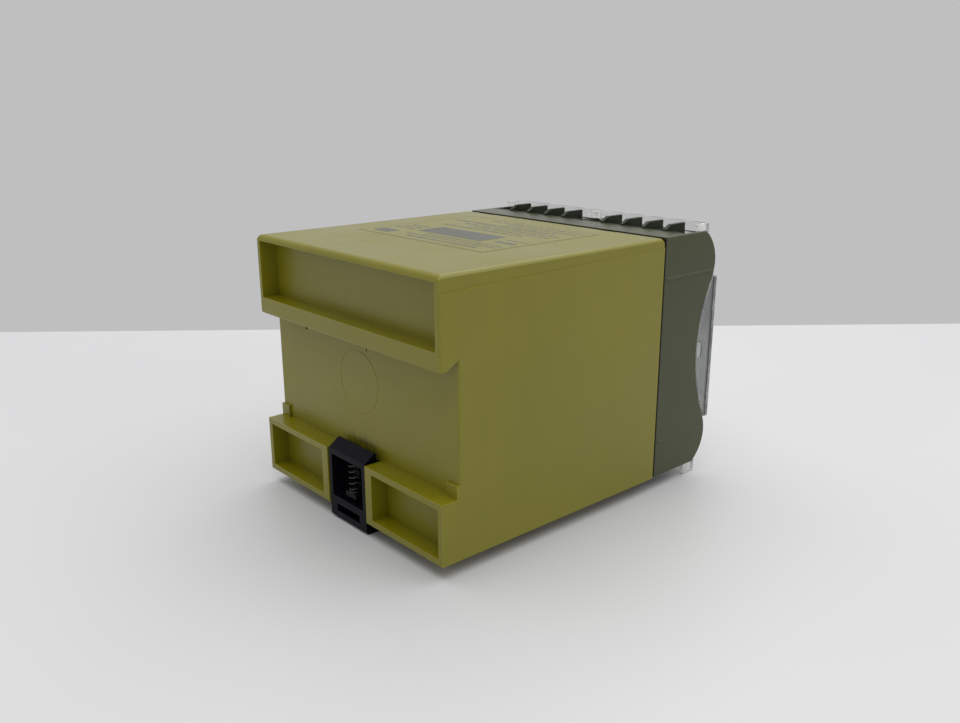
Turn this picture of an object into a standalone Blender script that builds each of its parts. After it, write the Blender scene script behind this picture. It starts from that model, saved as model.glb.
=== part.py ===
"""Electronic timer relay in a 90 mm wide housing that snaps onto a 35 mm top hat rail.

The device stands on its underside: +Z is up, the rail side faces +Y, the window and the screw
terminals face -Y. Lengths in this file are millimetres, and MM turns them into metres. A depth "d"
is counted from the plane of the back rims towards the front, and a height "z" from the underside
of the housing.
"""

import math

import bmesh
import bpy
from mathutils import Matrix, Vector

MM = 0.001

# Driving dimensions of the housing.
WIDTH = 90.0
HEIGHT = 78.0
DEPTH = 115.5
BASE = 4.4  # the latch and the lower terminal covers hold the housing this far off the table
WALL = 2.0
REAR_DEPTH = 87.4
SEAM = 0.9
GAP = 0.3

SIDE = WIDTH / 2
BACK_Y = DEPTH / 2
MIDDLE = HEIGHT / 2

# Rail side: a 35 mm rail lies between the feet and the hook.
RECESS = 6.0
FOOT_TOP = 17.8
HOOK_LIP = 53.2
HOOK_ROOT = 55.4
CHANNEL_HALF = 9.9
RIM = 1.8
POCKET_BOTTOM = 58.4
FOOT_POCKET_INNER = 12.9
GROOVE_DEPTH = 1.0
GROOVE_D = (2.8, 5.0)
GROOVE_TOP = 15.5
TOP_ROUNDING = 1.8
EDGE_ROUNDING = 0.5
CORNER_TAB_X = 40.6
CORNER_TAB_TOP = 21.7
CIRCLE_RADIUS = 9.5
CIRCLE_Z = 39.5
HOOK_NOTCH = (28.0, 50.9)
HOOK_SLIT_X = (-4.6, -4.1)
HOOK_SLIT_Z = (49.3, 51.8)

# Fine line along the sides: its heights at the back and the front, and the set-back above it.
SIDE_LINE_Z = (73.4, 75.1)
BAND_SETBACK = 0.22

# Notches in the upper front edge, and the type label.
EDGE_NOTCHES = (("left", 33.4), ("right", -23.6))
EDGE_NOTCH_HALF = 3.6
EDGE_NOTCH_DEPTH = 0.8
LABEL_X = (-27.2, 32.8)
LABEL_D = (29.6, 78.0)

# Black seat of the latch spring, let into the wall behind the latch.
SEAT_HALF = 2.6
SEAT_Z = (4.3, 5.7)
SEAT_PLATE_HALF = 4.4
SEAT_PLATE_Z = (1.6, 10.6)
PEG_RADIUS = 0.8
PEG_TOP = 7.6

# Latch.
LATCH_HALF = 9.3
LATCH_BACK = 0.25
LATCH_FRONT = 5.7
LATCH_SHOULDER = 17.9
LATCH_NOSE = 20.5
LATCH_NOSE_D = (4.0, 4.6)
LATCH_WINDOW_HALF = 7.9
LATCH_WINDOW_Z = (2.9, 16.3)
LATCH_WEB_D = 5.0  # a thin web closes the window behind the spring
LATCH_WEB_SLOT_HALF = 3.1
LATCH_WEB_SLOT_TOP = 9.7  # leaves the latch free to slide past the spring's seat
DRIVER_SLOT_HALF = 6.0
DRIVER_SLOT_Z = (-1.8, 0.7)
SPRING_RADIUS = 1.5
SPRING_WIRE = 0.25
SPRING_TURNS = 5
SPRING_D = 3.1

# Front part of the housing.
CHEEK = 1.1
FRONT_START = REAR_DEPTH + SEAM
LIP_START = 83.0
LIP_WALL = 1.2
BULGE_RADIUS = 12.0
BULGE_D = 102.4
BULGE_RISE = 28.7  # height of the bulge's centre above or below mid height
WINDOW_HALF = 24.2
ARC_RADIUS = 49.6
ARC_D = 156.8
BULKHEAD_D = (96.4, 98.0)
SHELF_Z = (63.0, 64.6)
SHELF_FRONT = 112.2
CENTRE_WALL_D = (100.4, 102.0)
CHEEK_SIDE = SIDE - 0.25  # the cheeks lie a little inside the housing, and two fine ribs reach out
RIB_Z = (("upper", 65.0), ("lower", 11.8))
RIB_HALF = 0.6
RIB_INSET = 0.9

# Terminals: five in a group, two groups in the upper row and two in the lower row.
PITCH = 8.7
PER_GROUP = 5
GROUP_CENTRE = 22.2
CHAMBER = 7.2
STRIP_END = 0.55
STRIP_BACK = 98.3
STRIP_BOTTOM = 64.8
STRIP_WALL = 1.5
STRIP_FLOOR = 1.1
STRIP_TOP_D = 106.6
RIB_RADIUS = 11.2
WEDGE_TOP = 79.8
WEDGE_D = (99.4, 109.2)
WEDGE_SLOPE = (2.7, 1.4)  # length and height of the slope at its back
SCREW_Z = 69.8
SCREW_HEAD_D = 106.0
SCREW_HEAD_RADIUS = 2.9
SCREW_SHANK_RADIUS = 1.5
COVER_OUTER = 13.0
COVER_INNER = 12.0
COVER_START_Z = 63.9
COVER_PROUD = {"top": 2.2, "bottom": BASE}
COVER_LIP_D = (110.3, 111.4)
COVER_END_D = 105.6
COVER_HALF = 21.4
DRIVER_HOLE = 2.6

# Window and front plate.
WINDOW_CLEAR = 0.3
WINDOW_END = 23.9
WINDOW_PLATE = 1.2
PLATE_D = (102.2, 103.2)
PLATE_HALF = 43.3
KNOB_Z = 41.0
KNOB_X = 17.0
KNOB_RADIUS = 5.5
KNOB_D = (104.0, 110.2)
SHAFT_RADIUS = 1.6
SHAFT_END = 100.6
LENS_Z = 55.0
LENS_PITCH = 9.0
LENS_RADIUS = 1.5

# Circuit boards.
BOARD = 1.6
LOWER_BOARD_Z = 10.0
UPPER_BOARD_Z = 66.4
BOARD_HALF = 40.9
BOARD_D = (12.0, 95.6)
FRONT_BOARD_D = 95.0
FRONT_BOARD_X = (-38.0, 38.0)
FRONT_BOARD_Z = (17.0, 61.0)

# Parts on the boards, as places across and in depth, with their heights.
CORE_X = (-37.0, -3.0)
CORE_D = (20.0, 44.0)
CORE_TALL = 29.0
CORE_LEG = 5.5
CORE_WINDOW = 6.5
WINDING_OUTER = 5.8
RELAY_FIRST_X = 7.0
RELAY_PITCH = 14.5
RELAY_HALF = 6.3
RELAY_D = (30.0, 59.0)
RELAY_TALL = 25.5
CAPACITORS = ((-28.0, 66.0, 8.0, 30.0), (-9.0, 66.0, 6.3, 25.0))  # x, d, radius, height
CHIPS_X = (-14.0, 12.0)
CHIP_HALF = 3.3
CHIP_D = (40.0, 60.0)
CHIP_TALL = 3.6
DISC_PLACE = (-10.0, 54.0)
DISC_RADIUS = 5.0
DISC_THICK = 3.6
LINK_X = (8.0, 33.0)
LINK_D = (14.5, 15.4)

OLIVE_YELLOW = (0.181, 0.164, 0.026)
OLIVE_GREEN = (0.068, 0.073, 0.034)

parts = bpy.data.collections.new("din_rail_timer")
cutters = bpy.data.collections.new("cutters")


def world(x, d, z):
    """A point of the device as world coordinates in metres."""
    return Vector((x, BACK_Y - d, BASE + z)) * MM


def row_z(z, row):
    """Mirrors a height of the upper terminal row into the lower one."""
    return z if row == "top" else HEIGHT - z


def arc(d, z, radius, start, end, steps):
    """Points (d, z) on a circle, with angles in radians from the front."""
    angles = [start + (end - start) * i / steps for i in range(steps + 1)]
    return [(d + radius * math.cos(a), z + radius * math.sin(a)) for a in angles]


def material(name, colour, roughness, metallic=0.0, alpha=1.0):
    """A plain moulded, metal or clear material."""
    made = bpy.data.materials.new(name)
    made.use_nodes = True
    shader = made.node_tree.nodes["Principled BSDF"]
    shader.inputs["Base Color"].default_value = (*colour, 1.0)
    shader.inputs["Roughness"].default_value = roughness
    shader.inputs["Metallic"].default_value = metallic
    shader.inputs["Alpha"].default_value = alpha
    return made


def new_object(name, mesh, origin=None):
    made = bpy.data.objects.new(name, mesh)
    made.location = origin or Vector()
    parts.objects.link(made)
    return made


def paint(part, *look):
    """Gives a part a material of its own, named after it."""
    part.data.materials.clear()
    part.data.materials.append(material(part.name + "_material", *look))
    return part


def block(name, xs, ds, zs, bevel=0.0, segments=1):
    """A box between two values of x, d and z, with its origin at its middle."""
    low = world(xs[0], ds[1], zs[0])
    high = world(xs[1], ds[0], zs[1])
    shape = bmesh.new()
    bmesh.ops.create_cube(shape, size=1.0)
    bmesh.ops.scale(shape, vec=high - low, verts=shape.verts)
    mesh = bpy.data.meshes.new(name)
    shape.to_mesh(mesh)
    shape.free()
    made = new_object(name, mesh, (low + high) / 2)
    if bevel:
        add_bevel(made, bevel, segments)
    return made


def add_bevel(part, width, segments=2, angle=40.0):
    rounding = part.modifiers.new("rounding", "BEVEL")
    rounding.width = width * MM
    rounding.segments = segments
    rounding.limit_method = "ANGLE"
    rounding.angle_limit = math.radians(angle)
    return rounding


def outline_solid(name, points, xs):
    """A flat outline of (d, z) points, extruded along x from xs[0] to xs[1]."""
    curve = bpy.data.curves.new(name, "CURVE")
    curve.dimensions = "2D"
    curve.fill_mode = "BOTH"
    curve.extrude = (xs[1] - xs[0]) / 2 * MM
    spline = curve.splines.new("POLY")
    spline.points.add(len(points) - 1)
    for target, (d, z) in zip(spline.points, points):
        target.co = (-d * MM, z * MM, 0.0, 1.0)
    spline.use_cyclic_u = True
    drawn = bpy.data.objects.new(name + "_outline", curve)
    # The curve's x runs along world y, its y along world z and its extrusion along world x.
    turn = Matrix(((0, 0, 1), (1, 0, 0), (0, 1, 0))).to_4x4()
    drawn.matrix_world = Matrix.Translation(world((xs[0] + xs[1]) / 2, 0, 0)) @ turn
    return curve_to_mesh(name, drawn)


def curve_to_mesh(name, drawn):
    """Turns a curve object into a mesh object with welded caps, and removes the curve."""
    parts.objects.link(drawn)
    bpy.context.view_layer.update()
    evaluated = drawn.evaluated_get(bpy.context.evaluated_depsgraph_get())
    mesh = bpy.data.meshes.new_from_object(evaluated)
    mesh.name = name
    shape = bmesh.new()
    shape.from_mesh(mesh)
    bmesh.ops.remove_doubles(shape, verts=shape.verts, dist=0.001 * MM)
    bmesh.ops.recalc_face_normals(shape, faces=shape.faces)
    shape.to_mesh(mesh)
    shape.free()
    made = new_object(name, mesh)
    made.matrix_world = drawn.matrix_world.copy()
    curve = drawn.data
    bpy.data.objects.remove(drawn)
    bpy.data.curves.remove(curve)
    return made


def turned(name, profile, origin, segments):
    """A turned piece: (radius, depth) points from its front end to its back end, about y."""
    mesh = bpy.data.meshes.new(name)
    shape = bmesh.new()
    row = [shape.verts.new((radius * MM, -depth * MM, 0.0)) for radius, depth in profile]
    for first, second in zip(row, row[1:]):
        shape.edges.new((first, second))
    shape.to_mesh(mesh)
    shape.free()
    made = new_object(name, mesh, origin)
    lathe = made.modifiers.new("lathe", "SCREW")
    lathe.axis = "Y"
    lathe.steps = segments
    lathe.render_steps = segments
    lathe.use_merge_vertices = True
    lathe.merge_threshold = 0.001 * MM
    lathe.use_normal_flip = True
    return made


def cylinder(name, origin, radius, length, segments, axis="Y"):
    """A plain round bar centred on a point, along x, y or z."""
    shape = bmesh.new()
    bmesh.ops.create_cone(
        shape,
        cap_ends=True,
        segments=segments,
        radius1=radius * MM,
        radius2=radius * MM,
        depth=length * MM,
    )
    mesh = bpy.data.meshes.new(name)
    shape.to_mesh(mesh)
    shape.free()
    made = new_object(name, mesh, origin)
    turns = {"X": (0, math.pi / 2, 0), "Y": (math.pi / 2, 0, 0), "Z": (0, 0, 0)}
    made.rotation_euler = turns[axis]
    return made


def combine(part, tool, operation):
    """Adds or cuts with another object, which moves to the cutters' collection."""
    step = part.modifiers.new(tool.name, "BOOLEAN")
    step.operation = operation
    step.object = tool
    step.solver = "EXACT"
    if tool.name in parts.objects:
        parts.objects.unlink(tool)
        cutters.objects.link(tool)
    tool.hide_render = True
    tool.display_type = "WIRE"
    return part


def cut(part, tool):
    return combine(part, tool, "DIFFERENCE")


def add(part, tool):
    return combine(part, tool, "UNION")


def shade(part):
    """Smooth shading that keeps edges sharper than 35 degrees."""
    part.data.shade_smooth()
    part.data.set_sharp_from_angle(angle=math.radians(35))


def terminal_x(group, number):
    """Middle of a terminal: group +1 is the left one seen from behind, numbered from the middle."""
    return group * (GROUP_CENTRE + (number - (PER_GROUP - 1) / 2) * PITCH)


# ---------------------------------------------------------------- rear housing and rail latch


def rear_housing():
    """Yellow shell, open at the front, with the hook and the two feet that take the rail."""
    side_view = [
        (0.0, HEIGHT),
        (REAR_DEPTH, HEIGHT),
        (REAR_DEPTH, 0.0),
        (RECESS, 0.0),
        (RECESS, HOOK_ROOT),
        (2.2, HOOK_LIP),
        (0.0, HOOK_LIP),
    ]
    shell = outline_solid("rear_housing", side_view, (-SIDE, SIDE))
    round_top_edges(shell)
    for side, label in ((1, "left"), (-1, "right")):
        foot_view = [(0.0, 0.0), (RECESS + 1.0, 0.0), (RECESS + 1.0, FOOT_TOP), (0.0, FOOT_TOP)]
        ends = sorted((side * CHANNEL_HALF, side * SIDE))
        add(shell, outline_solid(f"foot_{label}", foot_view, ends))
        ends = sorted((side * FOOT_POCKET_INNER, side * (SIDE - RIM)))
        pocket = (-1.0, RECESS - 0.3)
        cut(shell, block(f"foot_pocket_{label}", ends, pocket, (RIM, FOOT_TOP - RIM)))
        ends = sorted((side * (CHANNEL_HALF - 1.0), side * (CHANNEL_HALF + GROOVE_DEPTH)))
        cut(shell, block(f"latch_groove_{label}", ends, GROOVE_D, (-1.0, GROOVE_TOP)))
        ends = sorted((side * CORNER_TAB_X, side * (SIDE - 0.05)))
        corner = (RECESS - 0.8, RECESS + 1.0)
        add(shell, block(f"corner_tab_{label}", ends, corner, (FOOT_TOP - 0.5, CORNER_TAB_TOP)))
    pocket_z = (POCKET_BOTTOM, HEIGHT - RIM)
    pocket_x = (-SIDE + RIM, SIDE - RIM)
    cut(shell, block("upper_pocket", pocket_x, (-1.0, RECESS - 0.3), pocket_z))
    inside = (-SIDE + WALL, SIDE - WALL)
    cut(shell, block("inside", inside, (RECESS + WALL, 95.0), (WALL, HEIGHT - WALL)))
    seat_x = (-SEAT_PLATE_HALF - GAP, SEAT_PLATE_HALF + GAP)
    seat_z = (SEAT_PLATE_Z[0] - GAP, SEAT_PLATE_Z[1] + GAP)
    cut(shell, block("seat_pocket", seat_x, (RECESS - 1.0, RECESS + 1.1), seat_z))
    cut(shell, engraved_circle())
    cut(shell, hook_notch())
    cut(shell, block("hook_slit", HOOK_SLIT_X, (4.0, RECESS + 0.5), HOOK_SLIT_Z))
    for label, centre in EDGE_NOTCHES:
        ends = (centre - EDGE_NOTCH_HALF, centre + EDGE_NOTCH_HALF)
        deep = (HEIGHT - EDGE_NOTCH_DEPTH, HEIGHT + 1.0)
        cut(shell, block(f"edge_notch_{label}", ends, (REAR_DEPTH - 2.0, REAR_DEPTH + 1.0), deep))
    label_x = (LABEL_X[0] - 0.2, LABEL_X[1] + 0.2)
    label_d = (LABEL_D[0] - 0.2, LABEL_D[1] + 0.2)
    cut(shell, block("label_recess", label_x, label_d, (HEIGHT - 0.25, HEIGHT + 1.0)))
    for side, label in ((1, "left"), (-1, "right")):
        cut(shell, upper_band(side, label))
    shade(shell)
    return paint(shell, OLIVE_YELLOW, 0.42)


def round_top_edges(shell):
    """Rounds the two long upper edges more than the other outer edges."""
    shape = bmesh.new()
    shape.from_mesh(shell.data)
    place = shell.matrix_world

    def ends(edge):
        return [place @ v.co for v in edge.verts]

    top = world(0, 0, HEIGHT).z
    long_top = [
        e
        for e in shape.edges
        if all(abs(p.z - top) < 1e-6 and abs(abs(p.x) - SIDE * MM) < 1e-6 for p in ends(e))
    ]
    rounding = TOP_ROUNDING * MM
    bmesh.ops.bevel(
        shape, geom=long_top, offset=rounding, segments=8, affect="EDGES", profile=0.5
    )
    front = world(0, REAR_DEPTH, 0).y
    small = [
        e
        for e in shape.edges
        if len(e.link_faces) == 2
        and e.calc_face_angle() > math.radians(60)
        and all(abs(p.y - front) > 1e-6 for p in ends(e))
    ]
    rounding = EDGE_ROUNDING * MM
    bmesh.ops.bevel(shape, geom=small, offset=rounding, segments=2, affect="EDGES", profile=0.5)
    # Where two roundings meet, their faces are a little twisted; flat ones cut cleanly.
    bmesh.ops.connect_verts_nonplanar(shape, angle_limit=0.0001, faces=shape.faces)
    shape.to_mesh(shell.data)
    shape.free()


def upper_band(side, label):
    """Cutter for the band above the fine line on the side, which climbs towards the front."""
    low, high = SIDE_LINE_Z
    climb = (high - low) / REAR_DEPTH
    back, front = -2.0, REAR_DEPTH + 2.0
    top = HEIGHT + 2.0
    outline = [(back, low + climb * back), (front, low + climb * front), (front, top), (back, top)]
    xs = sorted((side * (SIDE - BAND_SETBACK), side * (SIDE + 1.0)))
    return outline_solid(f"upper_band_{label}", outline, xs)


def engraved_circle():
    """The faint ring in the rail recess."""
    bpy.ops.mesh.primitive_torus_add(
        major_radius=CIRCLE_RADIUS * MM,
        minor_radius=0.3 * MM,
        major_segments=40,
        minor_segments=6,
        location=world(0, RECESS - 0.15, CIRCLE_Z),
        rotation=(math.pi / 2, 0, 0),
    )
    ring = bpy.context.object
    ring.name = "engraved_circle"
    for owner in list(ring.users_collection):
        owner.objects.unlink(ring)
    parts.objects.link(ring)
    return ring


def hook_notch():
    """The small three-cornered hole beside the hook."""
    x, z = HOOK_NOTCH
    notch = cylinder("hook_notch", world(x, RECESS, z), 2.0, 3.0, 3)
    notch.rotation_euler = (math.pi / 2, math.pi, 0)
    notch.scale = (1.0, 0.7, 1.0)
    return notch


def type_label():
    """Printed foil in a shallow recess on the upper side."""
    foil = block("type_label", LABEL_X, LABEL_D, (HEIGHT - 0.2, HEIGHT + 0.03))
    return paint(foil, (0.26, 0.25, 0.15), 0.5)


def rail_latch():
    """Black slide between the feet, with the nose that grips the lower edge of the rail."""
    side_view = [
        (LATCH_BACK, -BASE + 0.8),
        (LATCH_BACK, LATCH_SHOULDER),
        (LATCH_NOSE_D[0], LATCH_NOSE),
        (LATCH_NOSE_D[1], LATCH_NOSE - 0.3),
        (LATCH_NOSE_D[1], FOOT_TOP),
        (LATCH_FRONT, FOOT_TOP),
        (LATCH_FRONT, -BASE),
        (LATCH_BACK + 0.8, -BASE),
    ]
    latch = outline_solid("rail_latch", side_view, (-LATCH_HALF, LATCH_HALF))
    window_x = (-LATCH_WINDOW_HALF, LATCH_WINDOW_HALF)
    cut(latch, block("latch_window", window_x, (-1.0, LATCH_WEB_D), LATCH_WINDOW_Z))
    slot_x = (-LATCH_WEB_SLOT_HALF, LATCH_WEB_SLOT_HALF)
    slot_z = (LATCH_WINDOW_Z[0], LATCH_WEB_SLOT_TOP)
    cut(latch, block("web_slot", slot_x, (LATCH_WEB_D - 0.5, LATCH_FRONT + 1.0), slot_z))
    driver_x = (-DRIVER_SLOT_HALF, DRIVER_SLOT_HALF)
    cut(latch, block("driver_slot", driver_x, (-1.0, LATCH_WEB_D), DRIVER_SLOT_Z))
    for side, label in ((1, "left"), (-1, "right")):
        ends = sorted((side * (LATCH_HALF - 0.5), side * (CHANNEL_HALF + GROOVE_DEPTH - 0.25)))
        tongue_d = (GROOVE_D[0] + 0.2, GROOVE_D[1] - 0.2)
        tongue_z = (1.0, GROOVE_TOP - 0.2)
        add(latch, block(f"latch_tongue_{label}", ends, tongue_d, tongue_z))
    shade(latch)
    return paint(latch, (0.010, 0.011, 0.017), 0.38)


def spring_seat():
    """Black seat for the spring: a plate in the wall, an arm through the latch's web and a peg."""
    plate_x = (-SEAT_PLATE_HALF, SEAT_PLATE_HALF)
    seat = block("spring_seat", plate_x, (RECESS + 0.15, RECESS + 0.8), SEAT_PLATE_Z)
    arm_x = (-SEAT_HALF, SEAT_HALF)
    add(seat, block("seat_arm", arm_x, (1.4, RECESS + 0.5), SEAT_Z))
    middle = (SEAT_Z[0] + PEG_TOP) / 2 + 0.2
    tall = PEG_TOP - SEAT_Z[0] - 0.4
    add(seat, cylinder("seat_peg", world(0, SPRING_D, middle), PEG_RADIUS, tall, 10, "Z"))
    shade(seat)
    return paint(seat, (0.010, 0.011, 0.014), 0.4)


def latch_spring():
    """Coil spring between its seat and the upper edge of the latch's window."""
    low = SEAT_Z[1] + SPRING_WIRE + 0.1
    high = LATCH_WINDOW_Z[1] - SPRING_WIRE - 0.1
    steps = 10
    count = SPRING_TURNS * steps
    curve = bpy.data.curves.new("latch_spring", "CURVE")
    curve.dimensions = "3D"
    curve.bevel_depth = SPRING_WIRE * MM
    curve.bevel_resolution = 1
    curve.use_fill_caps = True
    spline = curve.splines.new("POLY")
    spline.points.add(count)
    for i, point in enumerate(spline.points):
        angle = 2 * math.pi * i / steps
        rise = (high - low) * i / count
        point.co = (
            SPRING_RADIUS * math.cos(angle) * MM,
            SPRING_RADIUS * math.sin(angle) * MM,
            rise * MM,
            1.0,
        )
    drawn = bpy.data.objects.new("latch_spring_path", curve)
    drawn.location = world(0, SPRING_D, low)
    spring = curve_to_mesh("latch_spring", drawn)
    return paint(spring, (0.20, 0.11, 0.06), 0.35, 0.9)


# ---------------------------------------------------------------- front housing


def cheek_outline():
    """Side view of the front housing: two bulges with a hollow between them."""
    corner = math.asin((MIDDLE - BULGE_RISE) / BULGE_RADIUS)
    join = math.asin((BULGE_RISE - WINDOW_HALF) / BULGE_RADIUS)
    hollow = math.asin(WINDOW_HALF / ARC_RADIUS)
    low = MIDDLE - BULGE_RISE
    high = MIDDLE + BULGE_RISE
    points = [(FRONT_START, 0.0)]
    points += arc(BULGE_D, low, BULGE_RADIUS, -corner, join, 10)
    points += arc(ARC_D, MIDDLE, ARC_RADIUS, math.pi + hollow, math.pi - hollow, 16)[1:-1]
    points += arc(BULGE_D, high, BULGE_RADIUS, -join, corner, 10)
    points.append((FRONT_START, HEIGHT))
    return points


def front_housing():
    """Olive frame with side cheeks, the bulkheads behind the terminals and the window's recess."""
    inner = SIDE - CHEEK
    lip = SIDE - WALL - GAP
    frame = outline_solid("front_housing", cheek_outline(), (-CHEEK_SIDE, CHEEK_SIDE))
    add_bevel(frame, 0.7, 3, 50.0)
    across = (-inner, inner)
    cut(frame, block("between_cheeks", across, (FRONT_START - 1.0, 125.0), (-5.0, HEIGHT + 5.0)))
    wide = (-inner - 0.5, inner + 0.5)
    for row in ("top", "bottom"):
        heights = sorted(row_z(z, row) for z in (HEIGHT - 1.8, HEIGHT))
        ledge_d = (FRONT_START, BULKHEAD_D[1])
        add(frame, block(f"ledge_{row}", wide, ledge_d, heights))
        heights = sorted(row_z(z, row) for z in (SHELF_Z[0], HEIGHT - 0.5))
        add(frame, block(f"bulkhead_{row}", wide, BULKHEAD_D, heights))
        heights = sorted(row_z(z, row) for z in SHELF_Z)
        shelf_d = (BULKHEAD_D[0], SHELF_FRONT)
        add(frame, block(f"shelf_{row}", wide, shelf_d, heights))
    centre_z = (HEIGHT - SHELF_Z[0] - 0.5, SHELF_Z[0] + 0.5)
    add(frame, block("centre_wall", wide, CENTRE_WALL_D, centre_z))
    for side, label in ((1, "left"), (-1, "right")):
        for place, z in RIB_Z:
            add(frame, cheek_rib(f"rib_{place}_{label}", side, z))
    flange = block("flange", wide, (FRONT_START, FRONT_START + 1.5), (0.5, HEIGHT - 0.5))
    add(frame, flange)
    lip_z = (WALL + GAP, HEIGHT - WALL - GAP)
    add(frame, block("locating_lip", (-lip, lip), (LIP_START, FRONT_START + 1.0), lip_z))
    inner_lip = lip - LIP_WALL
    throat_z = (lip_z[0] + LIP_WALL, lip_z[1] - LIP_WALL)
    throat = block("throat", (-inner_lip, inner_lip), (LIP_START - 1.0, 95.5), throat_z)
    cut(frame, throat)
    for label, x in knob_places():
        hole = cylinder(f"{label}_hole", world(x, 101.2, KNOB_Z), 2.4, 4.0, 16)
        cut(frame, hole)
    for label, x in lens_places():
        hole = cylinder(f"{label}_hole", world(x, 101.2, LENS_Z), LENS_RADIUS + 0.3, 4.0, 12)
        cut(frame, hole)
    shade(frame)
    return paint(frame, OLIVE_GREEN, 0.4)


def cheek_rib(name, side, z):
    """Fine rib with sloping flanks along a cheek, which ends just behind the curved front."""
    centre = MIDDLE + math.copysign(BULGE_RISE, z - MIDDLE)
    front = BULGE_D + math.sqrt(BULGE_RADIUS**2 - (z - centre) ** 2)
    xs = sorted((side * (CHEEK_SIDE - 0.8), side * SIDE))
    ds = (FRONT_START + RIB_INSET, front - RIB_INSET)
    return block(name, xs, ds, (z - RIB_HALF, z + RIB_HALF), 0.24)


def knob_places():
    return (("time", -KNOB_X), ("range", KNOB_X))


def lens_places():
    return [(f"status_{i + 1}", (i - 1) * LENS_PITCH) for i in range(3)]


def front_plate():
    """Scale plate behind the window, with holes for the knobs and the status lights."""
    plate_z = (HEIGHT - SHELF_Z[0] + GAP, SHELF_Z[0] - GAP)
    plate = block("front_plate", (-PLATE_HALF, PLATE_HALF), PLATE_D, plate_z)
    middle = (PLATE_D[0] + PLATE_D[1]) / 2
    for label, x in knob_places():
        cut(plate, cylinder(f"{label}_plate_hole", world(x, middle, KNOB_Z), 2.4, 3.0, 16))
    for label, x in lens_places():
        place = world(x, middle, LENS_Z)
        cut(plate, cylinder(f"{label}_plate_hole", place, LENS_RADIUS + 0.3, 3.0, 12))
    return paint(plate, (0.42, 0.42, 0.38), 0.5)


def front_window():
    """Clear cap: a flat front and two side plates that fill the hollow of the cheeks."""
    radius = ARC_RADIUS - WINDOW_CLEAR
    half_angle = math.asin(WINDOW_END / radius)
    back = arc(ARC_D, MIDDLE, radius, math.pi + half_angle, math.pi - half_angle, 20)
    outline = [(DEPTH, MIDDLE - WINDOW_END)] + back + [(DEPTH, MIDDLE + WINDOW_END)]
    cap = outline_solid("front_window", outline, (-SIDE, SIDE))
    inner = SIDE - WINDOW_PLATE
    hollow_z = (MIDDLE - WINDOW_END + 1.0, MIDDLE + WINDOW_END - 1.0)
    hollow_d = (95.0, DEPTH - WINDOW_PLATE)
    cut(cap, block("window_hollow", (-inner, inner), hollow_d, hollow_z))
    tab_z = (MIDDLE - 2.6, MIDDLE + 2.6)
    for side, label in ((1, "left"), (-1, "right")):
        root_x = sorted((side * (inner - 1.1), side * (inner + 0.4)))
        root = block(f"tab_root_{label}", root_x, (107.9, 110.6), tab_z)
        add(cap, root)
        tongue_x = sorted((side * (inner - 1.1), side * (inner - 0.1)))
        tongue_z = (tab_z[0] + 0.2, tab_z[1] - 0.2)
        add(cap, block(f"tab_{label}", tongue_x, (104.3, 109.0), tongue_z))
    shade(cap)
    return paint(cap, (0.80, 0.82, 0.80), 0.08, 0.0, 0.35)


# ---------------------------------------------------------------- terminals


def group_name(row, group):
    return f"{row}_{'left' if group > 0 else 'right'}"


def strip_outline(row):
    """Side view of a strip: square at the back, and following the cover at the front."""
    centre = MIDDLE + BULGE_RISE
    low = math.asin((STRIP_BOTTOM - centre) / RIB_RADIUS)
    high = math.acos((STRIP_TOP_D - BULGE_D) / RIB_RADIUS)
    points = [(STRIP_BACK, STRIP_BOTTOM), (STRIP_BACK, HEIGHT), (STRIP_TOP_D, HEIGHT)]
    points += arc(BULGE_D, centre, RIB_RADIUS, high, low, 6)[1:]
    return [(d, row_z(z, row)) for d, z in points]


def wedge_outline(row):
    """Side view of the part of a divider that stands above the housing's edge."""
    back, front = WEDGE_D
    run, rise = WEDGE_SLOPE
    points = [(back, HEIGHT - 3.0), (back, WEDGE_TOP - rise), (back + run, WEDGE_TOP)]
    points += [(front, WEDGE_TOP), (front, HEIGHT - 3.0)]
    return [(d, row_z(z, row)) for d, z in points]


def terminal_strip(row, group):
    """Insulating strip with five chambers, open towards the wires and the screwdriver."""
    name = "terminal_strip_" + group_name(row, group)
    half = (PER_GROUP - 1) / 2 * PITCH + CHAMBER / 2 + STRIP_END
    middle = group * GROUP_CENTRE
    strip = outline_solid(name, strip_outline(row), (middle - half, middle + half))
    chamber_z = sorted(row_z(z, row) for z in (STRIP_BOTTOM + STRIP_FLOOR, HEIGHT + 5.0))
    for number in range(PER_GROUP):
        x = terminal_x(group, number)
        chamber_x = (x - CHAMBER / 2, x + CHAMBER / 2)
        chamber_d = (STRIP_BACK + STRIP_WALL, 120.0)
        cut(strip, block(f"{name}_chamber_{number + 1}", chamber_x, chamber_d, chamber_z))
        place = world(x, STRIP_BACK, row_z(SCREW_Z, row))
        hole = cylinder(f"{name}_hole_{number + 1}", place, SCREW_SHANK_RADIUS + 0.3, 5.0, 10)
        cut(strip, hole)
    for number in range(PER_GROUP - 1):
        x = (terminal_x(group, number) + terminal_x(group, number + 1)) / 2
        half_wedge = (PITCH - CHAMBER) / 2 - 0.1
        wedge_x = (x - half_wedge, x + half_wedge)
        add(strip, outline_solid(f"{name}_wedge_{number + 1}", wedge_outline(row), wedge_x))
    shade(strip)
    return paint(strip, (0.030, 0.034, 0.018), 0.45)


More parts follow.
